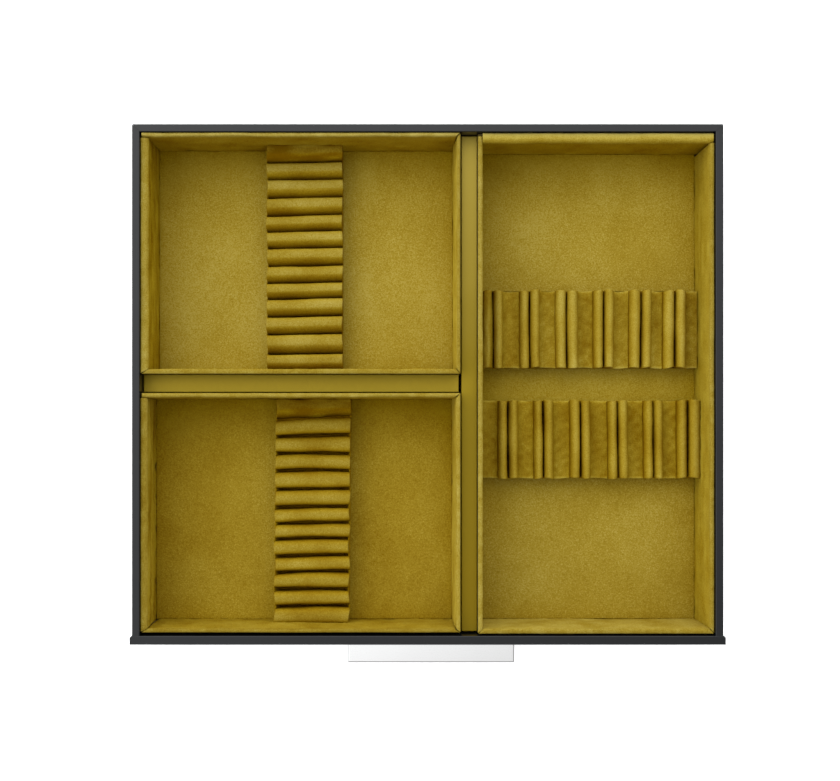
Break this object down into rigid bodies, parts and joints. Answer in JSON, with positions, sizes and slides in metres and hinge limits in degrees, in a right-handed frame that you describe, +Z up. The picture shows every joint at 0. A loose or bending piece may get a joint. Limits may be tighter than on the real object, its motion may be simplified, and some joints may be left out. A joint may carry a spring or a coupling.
{
  "type": "cufflink drawer with lift-out trays",
  "caption": "Shallow lacquered drawer on flat ball runners, with suede-lined lift-out trays, ring-roll inserts, cufflink bars, padded walls and a chrome bar pull.",
  "frame": {"origin": "centre of the outline's footprint at the underside of the fixed rails", "axes": "+X to the right seen from the front, +Y to the back, +Z up; the drawer opens towards -Y"},
  "size_m": [0.418, 0.383, 0.07],
  "materials": {
    "lacquer": "thin boards in dark grey satin lacquer",
    "lacquered_board": "dark grey satin lacquer",
    "dowel": "plain beech",
    "chrome": "polished",
    "steel": "plain",
    "zinc_steel": "bright zinc plated, folded sheet",
    "divider_leather": "smooth mustard leather, satin",
    "tray_board": "matt greyboard",
    "suede": "mustard suede with a short nap"
  },
  "bodies": {
    "rails": {"left_fixed_rail": "zinc_steel", "right_fixed_rail": "zinc_steel"},
    "left_runner_middle": {"left_middle_member": "zinc_steel", "left_ball_cages": "steel"},
    "right_runner_middle": {"right_middle_member": "zinc_steel", "right_ball_cages": "steel"},
    "drawer": {"front_panel": "lacquer", "left_side": "lacquer", "right_side": "lacquer", "back_panel": "lacquer", "bottom_panel": "lacquered_board", "side_dowels": "dowel", "drawer_pull": "chrome", "pull_screws": "steel", "long_divider": "divider_leather", "cross_divider": "divider_leather", "divider_screws": "steel", "left_drawer_member": "zinc_steel", "right_drawer_member": "zinc_steel", "runner_screws": "steel"},
    "insert_a": {"insert_a_board": "suede", "insert_a_rolls": "suede"},
    "insert_b": {"insert_b_board": "suede", "insert_b_rolls": "suede"},
    "rear_bar": {"rear_bar_board": "suede", "rear_bar_rolls": "suede", "rear_bar_pads": "suede"},
    "front_bar": {"front_bar_board": "suede", "front_bar_rolls": "suede", "front_bar_pads": "suede"},
    "tray_a": {"tray_a_shell": "tray_board", "tray_a_floor_pad": "suede", "tray_a_front_pad": "suede", "tray_a_right_pad": "suede", "tray_a_rear_pad": "suede", "tray_a_left_pad": "suede"},
    "tray_b": {"tray_b_shell": "tray_board", "tray_b_floor_pad": "suede", "tray_b_front_pad": "suede", "tray_b_right_pad": "suede", "tray_b_rear_pad": "suede", "tray_b_left_pad": "suede"},
    "tray_c": {"tray_c_shell": "tray_board", "tray_c_floor_pad": "suede", "tray_c_front_pad": "suede", "tray_c_right_pad": "suede", "tray_c_rear_pad": "suede", "tray_c_left_pad": "suede"}
  },
  "joints": [
    {"name": "drawer_slide", "type": "slide", "parent": "rails", "child": "drawer", "axis": [0, -1, 0], "range_m": [0, 0.28]},
    {"name": "left_runner_slide", "type": "slide", "parent": "rails", "child": "left_runner_middle", "axis": [0, -1, 0], "range_m": [0, 0.14]},
    {"name": "right_runner_slide", "type": "slide", "parent": "rails", "child": "right_runner_middle", "axis": [0, -1, 0], "range_m": [0, 0.14]},
    {"name": "tray_a_lift", "type": "slide", "parent": "drawer", "child": "tray_a", "axis": [0, 0, 1], "range_m": [0, 0.09]},
    {"name": "tray_b_lift", "type": "slide", "parent": "drawer", "child": "tray_b", "axis": [0, 0, 1], "range_m": [0, 0.09]},
    {"name": "tray_c_lift", "type": "slide", "parent": "drawer", "child": "tray_c", "axis": [0, 0, 1], "range_m": [0, 0.09]},
    {"name": "insert_a_lift", "type": "slide", "parent": "tray_a", "child": "insert_a", "axis": [0, 0, 1], "range_m": [0, 0.06]},
    {"name": "insert_b_lift", "type": "slide", "parent": "tray_b", "child": "insert_b", "axis": [0, 0, 1], "range_m": [0, 0.06]},
    {"name": "rear_bar_lift", "type": "slide", "parent": "tray_c", "child": "rear_bar", "axis": [0, 0, 1], "range_m": [0, 0.06]},
    {"name": "front_bar_lift", "type": "slide", "parent": "tray_c", "child": "front_bar", "axis": [0, 0, 1], "range_m": [0, 0.06]}
  ],
  "couplings": [
    {"joint": "left_runner_slide", "follows": "drawer_slide", "ratio": 0.5},
    {"joint": "right_runner_slide", "follows": "drawer_slide", "ratio": 0.5}
  ]
}
